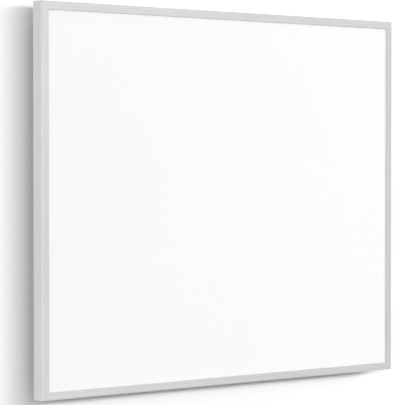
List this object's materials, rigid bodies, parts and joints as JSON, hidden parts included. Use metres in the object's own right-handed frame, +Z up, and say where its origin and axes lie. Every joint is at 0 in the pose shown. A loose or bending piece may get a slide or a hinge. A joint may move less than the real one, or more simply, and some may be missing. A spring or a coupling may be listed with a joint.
{
  "type": "infrared panel heater",
  "caption": "Flat wall-hung infrared heater: a white radiating face in a slim mitred aluminium frame, with keyhole brackets, terminal box, cable gland and rocker switch behind.",
  "frame": {"origin": "on the wall plane behind the middle of the panel", "axes": "+X to the right as seen from the room, +Y into the wall, +Z up; the white face looks along -Y"},
  "size_m": [0.6, 0.042, 0.5],
  "materials": {
    "anodised": "satin",
    "white_coat": "satin",
    "film": "matte",
    "copper": "satin",
    "foil": "polished",
    "mineral_board": "matte",
    "zinc_sheet": "satin",
    "zinc_steel": "satin",
    "white_plastic": "satin",
    "grey_plastic": "satin",
    "black_plastic": "satin",
    "black_rubber": "matte",
    "brass": "satin",
    "steatite": "satin",
    "brown_lead": "satin",
    "blue_lead": "satin",
    "green_lead": "satin"
  },
  "bodies": {
    "panel": {"back_plate": "zinc_sheet", "box_screw_left": "zinc_steel", "box_screw_right": "zinc_steel", "bracket_bottom_left": "zinc_steel", "bracket_bottom_right": "zinc_steel", "bracket_top_left": "zinc_steel", "bracket_top_right": "zinc_steel", "busbar_bottom": "copper", "busbar_top": "copper", "corner_key_bottom_left": "zinc_steel", "corner_key_bottom_right": "zinc_steel", "corner_key_top_left": "zinc_steel", "corner_key_top_right": "zinc_steel", "corner_screw_bottom_left_1": "zinc_steel", "corner_screw_bottom_left_2": "zinc_steel", "corner_screw_bottom_right_1": "zinc_steel", "corner_screw_bottom_right_2": "zinc_steel", "corner_screw_top_left_1": "zinc_steel", "corner_screw_top_left_2": "zinc_steel", "corner_screw_top_right_1": "zinc_steel", "corner_screw_top_right_2": "zinc_steel", "cutout_lead": "brown_lead", "earth_lead": "green_lead", "earth_screw": "brass", "frame_bottom": "anodised", "frame_left": "anodised", "frame_right": "anodised", "frame_top": "anodised", "front_plate": "white_coat", "gland_body": "grey_plastic", "gland_cap_nut": "grey_plastic", "gland_lock_nut": "grey_plastic", "gland_seal": "black_rubber", "grommet": "black_rubber", "heating_film": "film", "insulation_board": "mineral_board", "lid_screw_1": "zinc_steel", "lid_screw_2": "zinc_steel", "lid_screw_3": "zinc_steel", "lid_screw_4": "zinc_steel", "live_lead": "brown_lead", "neutral_lead": "blue_lead", "reflector_foil": "foil", "rivet_bottom_left_1": "zinc_steel", "rivet_bottom_left_2": "zinc_steel", "rivet_bottom_right_1": "zinc_steel", "rivet_bottom_right_2": "zinc_steel", "rivet_top_left_1": "zinc_steel", "rivet_top_left_2": "zinc_steel", "rivet_top_right_1": "zinc_steel", "rivet_top_right_2": "zinc_steel", "switch_housing": "black_plastic", "switch_lead": "brown_lead", "terminal_block": "steatite", "terminal_box_base": "white_plastic", "terminal_box_lid": "white_plastic", "thermal_cutout": "black_plastic"},
    "rocker": {"switch_rocker": "black_plastic"}
  },
  "joints": [
    {"name": "rocker_tilt", "type": "hinge", "parent": "panel", "child": "rocker", "pos_m": [0.12, -0.0154, -0.2123], "axis": [0, 1, 0], "range_deg": [0, 20]}
  ]
}
